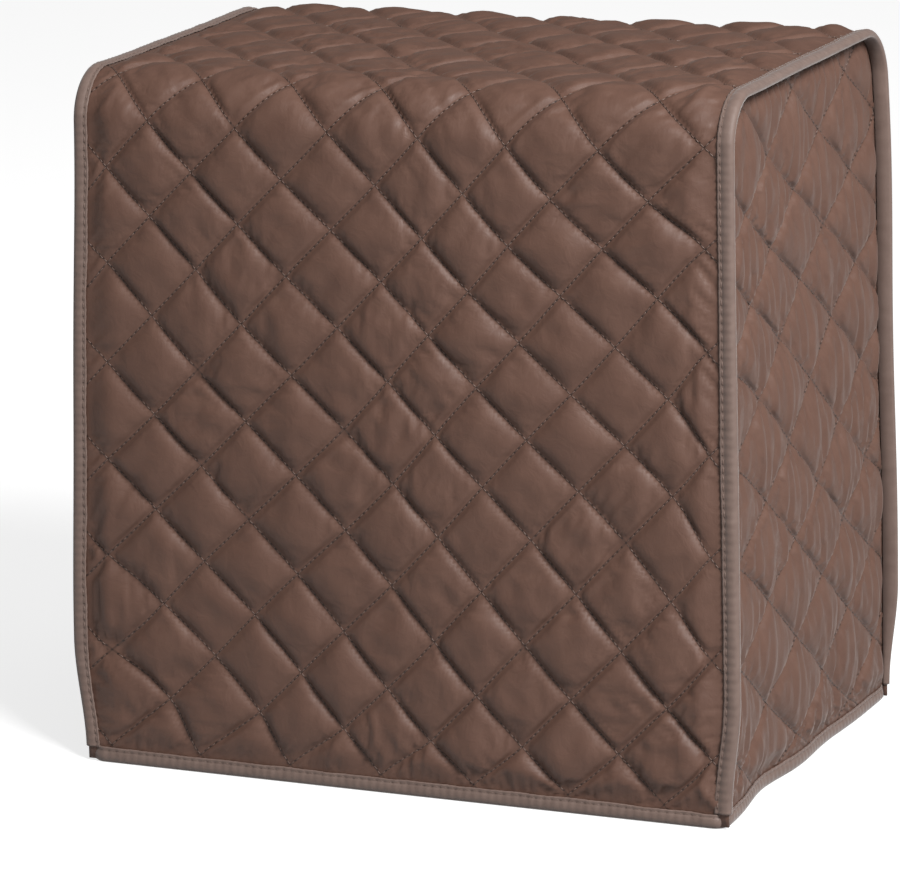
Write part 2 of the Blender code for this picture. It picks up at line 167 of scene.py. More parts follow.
def noise_field(shape, reach, seed):
    """Smooth noise of about unit height whose bumps are some grid steps wide."""
    field = np.random.default_rng(seed).standard_normal(shape)
    fy = np.fft.fftfreq(shape[0])[:, None]
    fx = np.fft.fftfreq(shape[1])[None, :]
    reach_y, reach_x = reach if isinstance(reach, tuple) else (reach, reach)
    keep = np.exp(-2 * pi**2 * ((fy * reach_y / 2) ** 2 + (fx * reach_x / 2) ** 2))
    field = np.real(np.fft.ifft2(np.fft.fft2(field) * keep))
    return field / field.std()


def relax(flat, wander, target, pinned, ease, hold, steps):
    """Lets quilted cloth settle: more cloth than room between the rows buckles into puffs and wrinkles.

    Every edge of the grid wants its flat length and the ease, and the wadding pulls each point towards
    its target height.
    """
    place = np.concatenate([flat + wander, target[..., None]], -1)
    weight = np.where(pinned, 0.0, 1.0)
    reach = {"over": ((0, 1), 1.0), "up": ((1, 0), 1.0), "rise": ((1, 1), 0.5), "fall": ((1, -1), 0.5)}
    reach.update({"over2": ((0, 2), 0.12), "up2": ((2, 0), 0.12)})
    rows, columns = target.shape
    groups = []
    for (dr, dc), stiff in reach.values():
        span = 2 * max(dr, abs(dc))
        for first in range(2):
            r0, c0 = np.meshgrid(np.arange(rows), np.arange(columns), indexing="ij")
            count = r0 if dr else c0
            fits = (count % span) // (span // 2) == first
            fits &= (r0 + dr < rows) & (c0 + dc >= 0) & (c0 + dc < columns)
            a = (r0 * columns + c0)[fits]
            groups.append((a, a + dr * columns + dc, stiff))
    place = place.reshape(-1, 3)
    flat2 = flat.reshape(-1, 2)
    ease2 = ease.reshape(-1, 2)
    weight = weight.ravel()
    target = target.ravel()
    springs = []
    for a, b, stiff in groups:
        stretch = (flat2[b] - flat2[a]) * (1 + (ease2[a] + ease2[b]) / 2)
        total = weight[a] + weight[b]
        live = total > 0
        a, b, stretch, total = a[live], b[live], stretch[live], total[live]
        wa, wb = stiff * weight[a] / total, stiff * weight[b] / total
        springs.append((a, b, np.sqrt((stretch**2).sum(-1)), wa[:, None], wb[:, None]))
    for _ in range(steps):
        place[:, 2] += hold * weight * (target - place[:, 2])
        for a, b, rest, wa, wb in springs:
            gap = place[b] - place[a]
            length = np.sqrt((gap**2).sum(-1))
            gap *= ((length - rest) / length)[:, None]
            place[a] += wa * gap
            place[b] -= wb * gap
    return place.reshape(rows, columns, 3)


def grid_triangles(index, crease):
    """Triangles of a grid of vertex numbers, split along the rows of quilting."""
    low, right = index[:-1, :-1], index[:-1, 1:]
    left, far = index[1:, :-1], index[1:, 1:]
    falls = crease[:-1, 1:] & crease[1:, :-1]
    faces = []
    rising, falling = (low, right, far, low, far, left), (low, right, left, right, far, left)
    for chosen, corners in ((~falls, rising), (falls, falling)):
        there = chosen & (low >= 0) & (right >= 0) & (left >= 0) & (far >= 0)
        packed = np.stack([c[there] for c in corners], -1).reshape(-1, 3)
        faces.append(packed)
    return np.concatenate(faces)


def add_mesh(name, points, faces, finish, uvs=None):
    """A smooth-shaded mesh object that rides on the part's one body."""
    mesh = bpy.data.meshes.new(name)
    mesh.from_pydata(np.asarray(points).tolist(), [], [list(map(int, f)) for f in faces])
    mesh.shade_smooth()
    mesh.materials.append(finish)
    if uvs is not None:
        corner = np.empty(len(mesh.loops), dtype=np.int32)
        mesh.loops.foreach_get("vertex_index", corner)
        for label, values in uvs.items():
            layer = mesh.uv_layers.new(name=label)
            layer.data.foreach_set("uv", np.asarray(values)[corner].astype(np.float32).ravel())
    made = bpy.data.objects.new(name, mesh)
    bpy.context.scene.collection.objects.link(made)
    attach(made, "root")
    return made


def linear(code):
    """Linear colour of an sRGB hex code."""
    values = [int(code[k : k + 2], 16) / 255 for k in (1, 3, 5)]
    return (*[c / 12.92 if c < 0.04045 else ((c + 0.055) / 1.055) ** 2.4 for c in values], 1.0)


def add(tree, kind, settings, links):
    """Adds a node: its settings, then each input's value or the socket that feeds it. Returns the node."""
    node = tree.nodes.new(kind)
    for key, value in settings.items():
        setattr(node, key, value)
    for key, value in links.items():
        if isinstance(value, bpy.types.NodeSocket):
            tree.links.new(value, node.inputs[key])
        else:
            node.inputs[key].default_value = value
    return node


CLOTH_DARK = "#4b342b"
CLOTH_LIGHT = "#5c4338"
STITCHES_TO_SIDE = 11  # of a diamond: 3.46 mm each


def quilted_polyester(name, stitches):
    """Brushed polyester: a satin face that catches light softly; its colour carries painted shade along the
    rows of quilting and in the needle holes.
    """
    made = bpy.data.materials.new(name)
    made.use_nodes = True
    tree = made.node_tree
    shader = tree.nodes["Principled BSDF"]
    quilt = add(tree, "ShaderNodeUVMap", {"uv_map": "quilt"}, {})
    cloth = add(tree, "ShaderNodeUVMap", {"uv_map": "cloth"}, {})
    parts = add(tree, "ShaderNodeSeparateXYZ", {}, {0: quilt.outputs[0]})
    distances, phases = [], []
    for k in range(2):
        row = add(tree, "ShaderNodeMath", {"operation": "PINGPONG"}, {0: parts.outputs[k], 1: 0.5})
        distances.append(
            add(
                tree,
                "ShaderNodeMath",
                {"operation": "MULTIPLY"},
                {0: row.outputs[0], 1: ROW_SPACING / MM},
            ),
        )
        counted = add(
            tree,
            "ShaderNodeMath",
            {"operation": "MULTIPLY"},
            {0: parts.outputs[1 - k], 1: float(stitches)},
        )
        hole = add(tree, "ShaderNodeMath", {"operation": "PINGPONG"}, {0: counted.outputs[0], 1: 0.5})
        phases.append(
            add(
                tree,
                "ShaderNodeMath",
                {"operation": "MULTIPLY"},
                {0: hole.outputs[0], 1: ROW_SPACING / MM / stitches},
            ),
        )
    nearest = add(
        tree,
        "ShaderNodeMath",
        {"operation": "MINIMUM"},
        {0: distances[0].outputs[0], 1: distances[1].outputs[0]},
    )
    # Painted shade: the cloth's colour is darkened within a millimetre of each row of quilting, where the
    # crease would be shaded.
    row_crease_shade = add(
        tree,
        "ShaderNodeMapRange",
        {"interpolation_type": "SMOOTHSTEP"},
        {"Value": nearest.outputs[0], "From Min": 0.1, "From Max": 0.8, "To Min": 0.62, "To Max": 1.0},
    )
    holes = []
    for distance, phase in zip(distances, phases):
        far2 = add(
            tree,
            "ShaderNodeMath",
            {"operation": "MULTIPLY"},
            {0: distance.outputs[0], 1: distance.outputs[0]},
        )
        both = add(
            tree,
            "ShaderNodeMath",
            {"operation": "MULTIPLY_ADD"},
            {0: phase.outputs[0], 1: phase.outputs[0], 2: far2.outputs[0]},
        )
        holes.append(both)
    closest = add(
        tree,
        "ShaderNodeMath",
        {"operation": "MINIMUM"},
        {0: holes[0].outputs[0], 1: holes[1].outputs[0]},
    )
    # Painted shade: the colour is darkened in a small spot at each needle hole along the rows.
    needle_hole_shade = add(
        tree,
        "ShaderNodeMapRange",
        {},
        {"Value": closest.outputs[0], "From Min": 0.12, "From Max": 0.5, "To Min": 0.35, "To Max": 1.0},
    )
    # Painted shade of the rows and of the needle holes, multiplied together into the base colour.
    shade = add(
        tree,
        "ShaderNodeMath",
        {"operation": "MULTIPLY"},
        {0: row_crease_shade.outputs[0], 1: needle_hole_shade.outputs[0]},
    )
    mottle = add(
        tree,
        "ShaderNodeTexNoise",
        {},
        {"Vector": cloth.outputs[0], "Scale": 60.0, "Detail": 4.0, "Roughness": 0.6},
    )
    tint = add(
        tree,
        "ShaderNodeMix",
        {"data_type": "RGBA"},
        {0: mottle.outputs[0], 6: linear(CLOTH_DARK), 7: linear(CLOTH_LIGHT)},
    )
    colour = add(
        tree,
        "ShaderNodeMix",
        {"data_type": "RGBA", "blend_type": "MULTIPLY"},
        {0: 1.0, 6: tint.outputs[2], 7: shade.outputs[0]},
    )
    tree.links.new(colour.outputs[2], shader.inputs["Base Color"])
    slub = add(tree, "ShaderNodeMapping", {}, {"Vector": cloth.outputs[0], "Scale": (900.0, 140.0, 1.0)})
    thread = add(tree, "ShaderNodeTexNoise", {}, {"Vector": slub.outputs[0], "Scale": 1.0, "Detail": 2.0})
    rough = add(
        tree,
        "ShaderNodeMapRange",
        {},
        {"Value": thread.outputs[0], "To Min": 0.46, "To Max": 0.66},
    )
    tree.links.new(rough.outputs[0], shader.inputs["Roughness"])
    crumple = add(
        tree,
        "ShaderNodeTexNoise",
        {},
        {"Vector": cloth.outputs[0], "Scale": 110.0, "Detail": 5.0, "Roughness": 0.55, "Distortion": 0.6},
    )
    soft = add(
        tree,
        "ShaderNodeBump",
        {},
        {"Strength": 0.35, "Distance": 0.0016, "Height": crumple.outputs[0]},
    )
    weave = add(
        tree,
        "ShaderNodeBump",
        {},
        {"Strength": 0.3, "Distance": 0.00015, "Height": thread.outputs[0], "Normal": soft.outputs[0]},
    )
    tree.links.new(weave.outputs[0], shader.inputs["Normal"])
    shader.inputs["Specular IOR Level"].default_value = 0.3
    shader.inputs["Sheen Weight"].default_value = 0.08
    shader.inputs["Sheen Roughness"].default_value = 0.4
    shader.inputs["Sheen Tint"].default_value = linear("#d8c6bc")
    return made


def stitch_thread():
    """Polyester sewing thread in the cloth's colour: twisted, so each stitch is ribbed and a bit glossy."""
    made = bpy.data.materials.new("polyester_thread")
    made.use_nodes = True
    tree = made.node_tree
    shader = tree.nodes["Principled BSDF"]
    place = add(tree, "ShaderNodeTexCoord", {}, {})
    mottle = add(
        tree,
        "ShaderNodeTexNoise",
        {},
        {"Vector": place.outputs["Object"], "Scale": 900.0, "Detail": 1.0},
    )
    tint = add(
        tree,
        "ShaderNodeMix",
        {"data_type": "RGBA"},
        {0: mottle.outputs[0], 6: linear("#47362f"), 7: linear("#6b574e")},
    )
    tree.links.new(tint.outputs[2], shader.inputs["Base Color"])
    ribs = add(
        tree,
        "ShaderNodeBump",
        {},
        {"Strength": 0.4, "Distance": 0.0001, "Height": mottle.outputs[0]},
    )
    tree.links.new(ribs.outputs[0], shader.inputs["Normal"])
    shader.inputs["Roughness"].default_value = 0.5
    return made


def stitch_mesh(centres, tangents, normals, length, radius):
    """Joined small stitches: each a bent capsule whose ends dip into the cloth."""
    stations = ((-0.5, 0.25, -0.9), (-0.25, 1.0, 0.15), (0.25, 1.0, 0.15), (0.5, 0.25, -0.9))
    ring = ((0.0, 1.0), (0.95, -0.3), (0.0, -0.9), (-0.95, -0.3))
    sides = np.cross(normals, tangents)
    points = []
    for along, wide, lift in stations:
        for across, up in ring:
            points.append(
                centres
                + tangents * (along * length)
                + sides * (across * wide * radius)
                + normals * ((lift + up * wide) * radius)
            )
    points = np.stack(points, 1)
    count, size = points.shape[:2]
    faces = []
    for k in range(len(stations) - 1):
        for m in range(4):
            a, b = 4 * k + m, 4 * k + (m + 1) % 4
            faces.append((a, b, b + 4, a + 4))
    faces.append((3, 2, 1, 0))
    faces.append((12, 13, 14, 15))
    faces = np.asarray(faces)[None] + (np.arange(count) * size)[:, None, None]
    return points.reshape(-1, 3), faces.reshape(-1, 4)


def sample(grid, row, column):
    """Grid points read between their rows and columns."""
    row = np.clip(row, 0, grid.shape[0] - 1.001)
    column = np.clip(column, 0, grid.shape[1] - 1.001)
    r, c = np.floor(row).astype(int), np.floor(column).astype(int)
    fr, fc = (row - r)[:, None], (column - c)[:, None]
    low = grid[r, c] * (1 - fc) + grid[r, c + 1] * fc
    high = grid[r + 1, c] * (1 - fc) + grid[r + 1, c + 1] * fc
    return low * (1 - fr) + high * fr


def unit(vectors):
    return vectors / np.linalg.norm(vectors, axis=-1, keepdims=True)


def surface_normals(surface, sign):
    return sign * unit(np.cross(np.gradient(surface, axis=1), np.gradient(surface, axis=0)))


def row_stitches(quilt, surface, normals, locate, stitches, inside):
    """(centres, tangents, normals) of the quilting's stitches on a settled grid of cloth."""
    (cu, cv), (au, av), (bu, bv) = quilt["cross"], quilt["across"], quilt["down"]
    t = (np.arange(-QUILT_REACH * stitches, QUILT_REACH * stitches) + 0.5) / stitches
    whole = np.arange(-QUILT_REACH, QUILT_REACH + 1)
    whole, t = (grid.ravel() for grid in np.meshgrid(whole, t, indexing="ij"))
    found = []
    for sign in (1, -1):
        a, b = (whole, t) if sign == 1 else (t, whole)
        across, down = (a + b) / 2, (a - b) / 2
        u, v = cu + across * au + down * bu, cv + across * av + down * bv
        keep = inside(u, v)
        u, v = u[keep], v[keep]
        du, dv = (au - sign * bu) * STITCH_TURN, (av - sign * bv) * STITCH_TURN
        run = sample(surface, *locate(u + du, v + dv)) - sample(surface, *locate(u - du, v - dv))
        place = locate(u, v)
        found.append((sample(surface, *place), unit(run), unit(sample(normals, *place))))
    return [np.concatenate(part) for part in zip(*found)]


QUILT_REACH = 16  # rows each way that are sure to pass the strip's ends
STITCH_TURN = 0.012  # share of a diamond over which a stitch's direction is read


def pillow(quilt, u, v, full):
    """0 on a row of quilting, 1 in the middle of a diamond, unevenly from diamond to diamond."""
    a, b = quilt_place(quilt, u, v)
    fa, fb = a - np.floor(a), b - np.floor(b)
    swell = (16 * fa * (1 - fa) * fb * (1 - fb)) ** full
    which = np.sin(12.9898 * np.floor(a) + 78.233 * np.floor(b)) * 43758.5453
    return swell * (1 + 0.14 * (2 * (which - np.floor(which)) - 1))


# Where rows of quilting wander from straight on the strip: middle, reach and move in mm of flat cloth
STRIP_WANDER = (
    # name, u, v, reach u, reach v, move u, move v
    ("low_left", -130, 55, 75, 65, 11.2, 4.6),
    ("low_middle", -10, 55, 75, 65, 2.3, -6.5),
    ("low_right", 120, 55, 75, 65, 1.2, -1.7),
    ("belt_left", -130, 150, 75, 65, 1.5, -0.2),
    ("belt_middle", -10, 150, 75, 65, 9.1, -0.2),
    ("belt_right", 120, 150, 75, 65, 8.2, 5.4),
    ("chest_middle", -10, 245, 75, 65, 6.2, 1.2),
    ("chest_right", 120, 245, 75, 65, 2.9, -0.6),
    ("high_left", -130, 335, 75, 65, -1.8, 0.2),
    ("high_middle", -10, 335, 75, 65, 0.2, -1.9),
    ("high_right", 120, 335, 75, 65, -6.4, -3.7),
)
WANDER_FADE = 0.030


def wandered(table, u, v, from_seam):
    """Flat places moved to where their rows of quilting really run."""
    hold = smooth(from_seam / WANDER_FADE) * MM
    moved_u, moved_v = u.copy(), v.copy()
    for _, at_u, at_v, reach_u, reach_v, move_u, move_v in table:
        share = hold * np.exp(-(((u / MM - at_u) / reach_u) ** 2) - ((v / MM - at_v) / reach_v) ** 2)
        moved_u += move_u * share
        moved_v += move_v * share
    return np.stack([moved_u, moved_v], -1)


# Ease: how much longer the cloth is than its place, across and along, on top of a first share everywhere
STRIP_FIRST_EASE = 0.045
STRIP_CREPE = 0.00045  # height of its small wrinkles
ROW_SWAY = 0.0007  # how unsteadily the rows were sewn
STRIP_EASE = (
    # name, u, v, reach u, reach v, across, along
    ("above_front_hem", 20, 10, 130, 26, 0.05, 0.0),
    ("low_right_corner", 150, 50, 50, 60, 0.04, 0.03),
    ("front_fold", 0, 400, 220, 30, 0.01, 0.04),
    ("top", 0, 490, 220, 70, 0.02, 0.05),
)


def settle_strip():
    """The strip's grid of flat places, and the settled height and wander of its outer face."""
    quilt = STRIP_QUILT
    step = DIAMOND / quilt["steps"]
    inside = SEAM_X - 0.6 * step
    hem = HEM_TOP - EDGE_GAP
    i0, i1 = ceil((-inside - quilt["cross"][0]) / step), floor((inside - quilt["cross"][0]) / step)
    low, high = hem + 0.6 * step, STRIP_LENGTH - hem - 0.6 * step
    j0, j1 = ceil((low - quilt["cross"][1]) / step), floor((high - quilt["cross"][1]) / step)
    i, j = np.arange(i0, i1 + 1), np.arange(j0, j1 + 1)
    raw = SEAM_X + SEAM_LEAF
    us = np.concatenate([[-raw, -SEAM_X], quilt["cross"][0] + i * step, [SEAM_X, raw]])
    vs = np.concatenate([[0, hem], quilt["cross"][1] + j * step, [STRIP_LENGTH - hem, STRIP_LENGTH]])
    u, v = np.meshgrid(us, vs)
    on_row = np.zeros(u.shape, bool)
    jj, ii = np.meshgrid(j, i, indexing="ij")
    on_row[2:-2, 2:-2] = ((ii + jj) % quilt["steps"] == 0) | ((ii - jj) % quilt["steps"] == 0)
    edge = np.zeros(u.shape, bool)
    edge[:2] = edge[-2:] = True
    edge[:, :2] = edge[:, -2:] = True
    from_seam = np.minimum(SEAM_X - np.abs(u), np.minimum(v - hem, STRIP_LENGTH - hem - v))
    fade = smooth(from_seam / STRIP_FADE)
    target = THIN_OUT + PUFF_OUT * pillow(quilt, u, v, 0.5) * fade
    free = ~(on_row | edge)
    target += np.where(free, STRIP_CREPE * noise_field(u.shape, 4.0, 11) * fade, 0)
    wander = np.stack([ROW_SWAY * noise_field(u.shape, 26.0, s) * fade for s in (21, 22)], -1)
    ease = np.full((*u.shape, 2), STRIP_FIRST_EASE)
    for _, su, sv, ru, rv, across, along in STRIP_EASE:
        share = np.exp(-(((u / MM - su) / ru) ** 2) - ((v / MM - sv) / rv) ** 2)
        ease += share[..., None] * (across, along)
    settled = relax(
        wandered(STRIP_WANDER, u, v, from_seam),
        wander,
        target,
        ~free,
        ease,
        WADDING_PULL,
        SETTLE_STEPS,
    )
    return us, vs, u, v, settled, on_row


us, vs, u, v, settled, on_row = settle_strip()
strip_outer = strip_place(settled[..., 0], settled[..., 1], settled[..., 2])
strip_normals = surface_normals(strip_outer, 1)
outer_index = np.arange(u.size).reshape(u.shape)


def thinned(places, stride):
    """Indices of every so many grid lines, with both ends and the lines next to them."""
    last = len(places) - 1
    return np.array(sorted({0, 1, *range(2, last - 1, stride), last - 1, last}))


keep_rows, keep_columns = thinned(vs, 4), thinned(us, 4)
inner_u, inner_v = np.meshgrid(us[keep_columns], vs[keep_rows])
inner_fade = smooth(
    np.minimum(SEAM_X - np.abs(inner_u), np.minimum(inner_v, STRIP_LENGTH - inner_v) - HEM_TOP) / STRIP_FADE,
)
inner_out = -THIN_IN - PUFF_IN * pillow(STRIP_QUILT, inner_u, inner_v, 0.5) * inner_fade
inner_margin = np.minimum(inner_v, STRIP_LENGTH - inner_v) - (HEM_TOP - EDGE_GAP)
inner_at = wandered(STRIP_WANDER, inner_u, inner_v, np.minimum(SEAM_X - np.abs(inner_u), inner_margin))
strip_inner = strip_place(inner_at[..., 0], inner_at[..., 1], inner_out)
inner_index = np.arange(inner_u.size).reshape(inner_u.shape) + u.size
faces = grid_triangles(outer_index, on_row).tolist()
flat_inner = np.zeros(inner_u.shape, bool)
faces += grid_triangles(inner_index, flat_inner)[:, ::-1].tolist()


def joined(fine, coarse, stride_keys):
    """Triangles between a fine border and a coarse one, which shares the fine places in stride_keys."""
    made = []
    for k in range(len(stride_keys) - 1):
        start, stop = stride_keys[k], stride_keys[k + 1]
        made += [(fine[m + 1], fine[m], coarse[k]) for m in range(start, stop)]
        made.append((fine[stop], coarse[k], coarse[k + 1]))
    return made


borders = (
    (outer_index[0], inner_index[0], keep_columns, False),
    (outer_index[-1], inner_index[-1], keep_columns, True),
    (outer_index[:, 0], inner_index[:, 0], keep_rows, True),
    (outer_index[:, -1], inner_index[:, -1], keep_rows, False),
)
for fine, coarse, keys, flip in borders:
    ring = joined(fine, coarse, keys)
    faces += [tuple(reversed(f)) for f in ring] if flip else ring
points = np.concatenate([strip_outer.reshape(-1, 3), strip_inner.reshape(-1, 3)])
all_u = np.concatenate([u.ravel(), inner_u.ravel()])
all_v = np.concatenate([v.ravel(), inner_v.ravel()])
polyester = quilted_polyester("quilted_polyester", STITCHES_TO_SIDE)
uvs = {
    "quilt": np.stack(quilt_place(STRIP_QUILT, all_u, all_v), -1),
    "cloth": np.stack([all_u, all_v], -1),
}
main_panel = add_mesh("main_panel_cloth", points, faces, polyester, uvs)
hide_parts("main_panel")


def strip_locate(u, v):
    return np.interp(v, vs, np.arange(len(vs))), np.interp(u, us, np.arange(len(us)))


def on_strip(u, v):
    hem = HEM_TOP - EDGE_GAP
    along = (v > hem + ON_SEAM) & (v < STRIP_LENGTH - hem - ON_SEAM)
    return (np.abs(u) < SEAM_X - ON_SEAM) & along


thread = stitch_thread()
places = row_stitches(STRIP_QUILT, strip_outer, strip_normals, strip_locate, STITCHES_TO_SIDE, on_strip)
points, faces = stitch_mesh(*places, STITCH_LENGTH, STITCH_RADIUS)
main_stitches = add_mesh("main_panel_stitches", points, faces, thread)

# Side panels: gussets of the same quilted cloth, sewn in behind the long panel's edges, which stand
# proud of them. Their cloth is fuller than its place, so it buckles a little between the rows.
SIDE_QUILT = {
    "cross": (0.0407, 0.3437),
    "across": (0.0814, -0.0037),
    "down": (0.0042, -0.0543),
    "steps": 36,
}
SIDE_WANDER = (
    # name, u, v, reach u, reach v, move u, move v
    ("belt_near", -80, 150, 75, 60, 4.4, 2.3),
    ("belt_far", 50, 150, 75, 60, -3.4, -1.9),
    ("chest_near", -80, 240, 75, 60, 2.3, 2.2),
    ("chest_far", 50, 240, 75, 60, -3.5, 5.1),
    ("high_near", -80, 330, 75, 60, -1.0, -4.0),
    ("high_far", 50, 330, 75, 60, -3.0, 0.5),
)
SEWN_GAP = 0.0003
SIDE_TOP = CROWN - THIN_IN - SEWN_GAP
SIDE_EDGE = FRONT_Y - THIN_IN - SEWN_GAP
SIDE_ROUND = FOLD_RADIUS - 0.0005
SIDE_STITCHES = 13
SIDE_FADE = 0.014
SIDE_CREPE = 0.0006
SIDE_EASE = (0.10, 0.04)  # how much longer its cloth is than its place, across and up
SIDE_REACH = ((-2.75, 1.4), (-1.0, 6.8))  # diamonds each way that are sure to pass its edges


def side_outline():
    """(point, direction out) of each straight cut of a side panel, in flat places."""
    cuts = [((0.0, EDGE_GAP), (0.0, -1.0)), ((0.0, SIDE_TOP), (0.0, 1.0))]
    for side in (-1, 1):
        cuts.append(((side * SIDE_EDGE, 0.0), (side, 0.0)))
        middle = (side * (SIDE_EDGE - SIDE_ROUND), SIDE_TOP - SIDE_ROUND)
        for step in range(1, 12):
            out = (side * cos(step * pi / 24), sin(step * pi / 24))
            cuts.append(((middle[0] + out[0] * SIDE_ROUND, middle[1] + out[1] * SIDE_ROUND), out))
    return cuts


def side_margin(u, v):
    """Distance inside a side panel's outline."""
    margins = [(pu - u) * ou + (pv - v) * ov for (pu, pv), (ou, ov) in side_outline()[1:]]
    return np.minimum.reduce([*margins, v - HEM_TOP])


def make_side(name, side, seed):
    quilt = SIDE_QUILT
    steps = quilt["steps"]
    i, j = (np.arange(low * steps, high * steps) for low, high in SIDE_REACH)
    ii, jj = np.meshgrid(np.round(i), np.round(j))
    u = quilt["cross"][0] + (ii * quilt["across"][0] + jj * quilt["down"][0]) / steps
    v = quilt["cross"][1] + (ii * quilt["across"][1] + jj * quilt["down"][1]) / steps
    margin = side_margin(u, v)
    fade = smooth(margin / SIDE_FADE)
    on_row = ((ii + jj) % steps == 0) | ((ii - jj) % steps == 0)
    pinned = on_row | (margin < 0.0012)
    target = THIN_OUT + PUFF_OUT * pillow(quilt, u, v, 0.5) * fade
    target += np.where(pinned, 0, SIDE_CREPE * noise_field(u.shape, (14.0, 3.5), seed) * fade)
    wander = np.stack([ROW_SWAY * noise_field(u.shape, 30.0, seed + s) * fade for s in (1, 2)], -1)
    ease = np.zeros((*u.shape, 2)) + SIDE_EASE
    settled = relax(
        wandered(SIDE_WANDER, u, v, margin),
        wander,
        target,
        pinned,
        ease,
        WADDING_PULL,
        SETTLE_STEPS,
    )
    a, b = quilt_place(quilt, u, v)

    bm = bmesh.new()
    layers = [bm.verts.layers.float.new(label) for label in ("a", "b", "u", "v")]
    near = margin > -0.006
    index = np.full(u.shape, -1)
    index[near] = np.arange(near.sum())
    verts = []
    for place, *values in zip(settled[near], a[near], b[near], u[near], v[near]):
        vert = bm.verts.new(place)
        for layer, value in zip(layers, values):
            vert[layer] = value
        verts.append(vert)
    for face in grid_triangles(index, on_row):
        bm.faces.new([verts[k] for k in face])
    for (pu, pv), (ou, ov) in side_outline():
        geom = bm.verts[:] + bm.edges[:] + bm.faces[:]
        bmesh.ops.bisect_plane(
            bm,
            geom=geom,
            dist=1e-6,
            plane_co=(pu, pv, 0),
            plane_no=(ou, ov, 0),
            clear_outer=True,
        )
    bm.verts.index_update()
    flat = np.array([vert.co[:] for vert in bm.verts])
    held = np.array([[vert[layer] for layer in layers] for vert in bm.verts])
    rings = [[vert.index for vert in face.verts] for face in bm.faces]
    front = [ring for ring in rings if len(ring) == 3] + [ring for ring in rings if len(ring) != 3]
    rim = [[vert.index for vert in edge.verts] for edge in bm.edges if edge.is_boundary]
    bm.free()
    count = len(flat)
    inner_fade = smooth(side_margin(*flat[:, :2].T) / SIDE_FADE)
    inner_out = -THIN_IN - PUFF_IN * pillow(quilt, held[:, 2], held[:, 3], 0.5) * inner_fade
    outer = drape(np.stack([side * (SIDE_X + flat[:, 2]), flat[:, 0], flat[:, 1]], -1))
    inner = drape(np.stack([side * (SIDE_X + inner_out), flat[:, 0], flat[:, 1]], -1))
    faces = front + [[k + count for k in reversed(f)] for f in front]
    for p, q in rim:
        faces.append([p, q, q + count, p + count])
    values = np.concatenate([held, held])
    uvs = {"quilt": values[:, :2], "cloth": values[:, 2:]}
    panel = add_mesh(
        name + "_cloth",
        np.concatenate([outer, inner]),
        faces,
        side_cloth,
        uvs,
    )
    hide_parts(name)
    tidy = bmesh.new()
    tidy.from_mesh(panel.data)
    bmesh.ops.recalc_face_normals(tidy, faces=tidy.faces)
    tidy.to_mesh(panel.data)
    tidy.free()

    surface = drape(np.stack([side * (SIDE_X + settled[..., 2]), settled[..., 0], settled[..., 1]], -1))
    normals = surface_normals(surface, -side)
    (cu, cv), (au, av), (bu, bv) = quilt["cross"], quilt["across"], quilt["down"]
    det = au * bv - av * bu

    def locate(u, v):
        du, dv = u - cu, v - cv
        return (au * dv - av * du) / det * steps - jj[0, 0], (du * bv - dv * bu) / det * steps - ii[0, 0]

    places = row_stitches(
        quilt,
        surface,
        normals,
        locate,
        SIDE_STITCHES,
        lambda u, v: side_margin(u, v) > ON_SEAM,
    )
    points, faces = stitch_mesh(*places, STITCH_LENGTH, STITCH_RADIUS)
    stitches = add_mesh(name + "_stitches", points, faces, thread)
    return panel, stitches


side_cloth = quilted_polyester("quilted_polyester_side", SIDE_STITCHES)
right_panel, right_stitches = make_side("side_panel_right", 1, 41)
left_panel, left_stitches = make_side("side_panel_left", -1, 51)

# Bindings: plain polyester tape folded over each seam's raw edges and over the hem, sewn through near
# its inner edge with one row of longer stitches, which pull it in so that it puckers between them.
TOPSTITCH = 0.0046
TAPE_OUT = 0.0015
TAPE_IN = -0.0009
SEAM_STATION = 0.0011
HEM_STATION = 0.0012
TOPSTITCH_LENGTH = 0.0037
TOPSTITCH_RADIUS = 0.00034
TOPSTITCH_LIFT = 0.0001
OUTER_LEAF = (
    # name, from the raw edge, out past the cloth's face, share of the stitch's pull
    ("under_edge", -7.0, 0.05, 0.3),
    ("lip", -7.25, 0.45, 0.3),
    ("lip_top", -7.0, 0.85, 0.4),
    ("before_stitch", -6.3, 1.05, 0.6),
    ("stitch", -5.5, 0.75, 1.0),
    ("after_stitch", -4.7, 1.1, 0.6),
    ("rise", -3.6, 1.35, 0.25),
    ("middle", -2.2, 1.45, 0.15),
    ("roll", -0.8, 1.3, 0.1),
    ("shoulder", 0.5, 0.75, 0.0),
    ("outer_edge", 1.3, -0.2, 0.0),
    ("web", 1.6, -1.2, 0.0),
)
INNER_LEAF = (
    # name, from the raw edge, in past the cloth's inner face
    ("web_in", 1.3, 0.2),
    ("shoulder_in", 0.4, 0.75),
    ("middle_in", -2.5, 1.25),
    ("end_in", -6.6, 1.15),
    ("lip_in", -7.0, 0.6),
    ("under_in", -6.8, 0.0),
    ("fold_in", 0.3, 0.0),
    ("fold_out", 0.3, -2.35),
)


def tape_rings(place, run, inner_share, seed):
    """Rings of a folded tape along a run; place(past, out) gives the places of one line of it."""
    count = len(run)
    sway = noise_field((count, 1), 30.0, seed)[:, 0]
    fine = noise_field((count, 1), 7.0, seed + 1)[:, 0]
    between = 0.5 - 0.5 * np.cos(2 * pi * run / TOPSTITCH)
    lines = []
    for _, past, out, pull in OUTER_LEAF:
        puckered = (0.30 * between * (1 - pull) + 0.10 * fine) * (past < 0)
        lift = puckered - 0.35 * pull * (1 - between)
        wave = 0.22 * sway + 0.12 * fine
        lines.append(
            place(np.full(count, past) * MM + wave * MM * (past < -5), TAPE_OUT + (out + lift) * MM),
        )
    for _, past, out in INNER_LEAF:
        even = np.ones(count)
        shift = past * (inner_share if past < 0 else 1.0) * MM
        lines.append(place(shift * even, (TAPE_IN - out * MM) * even))
    return np.stack(lines, 1)


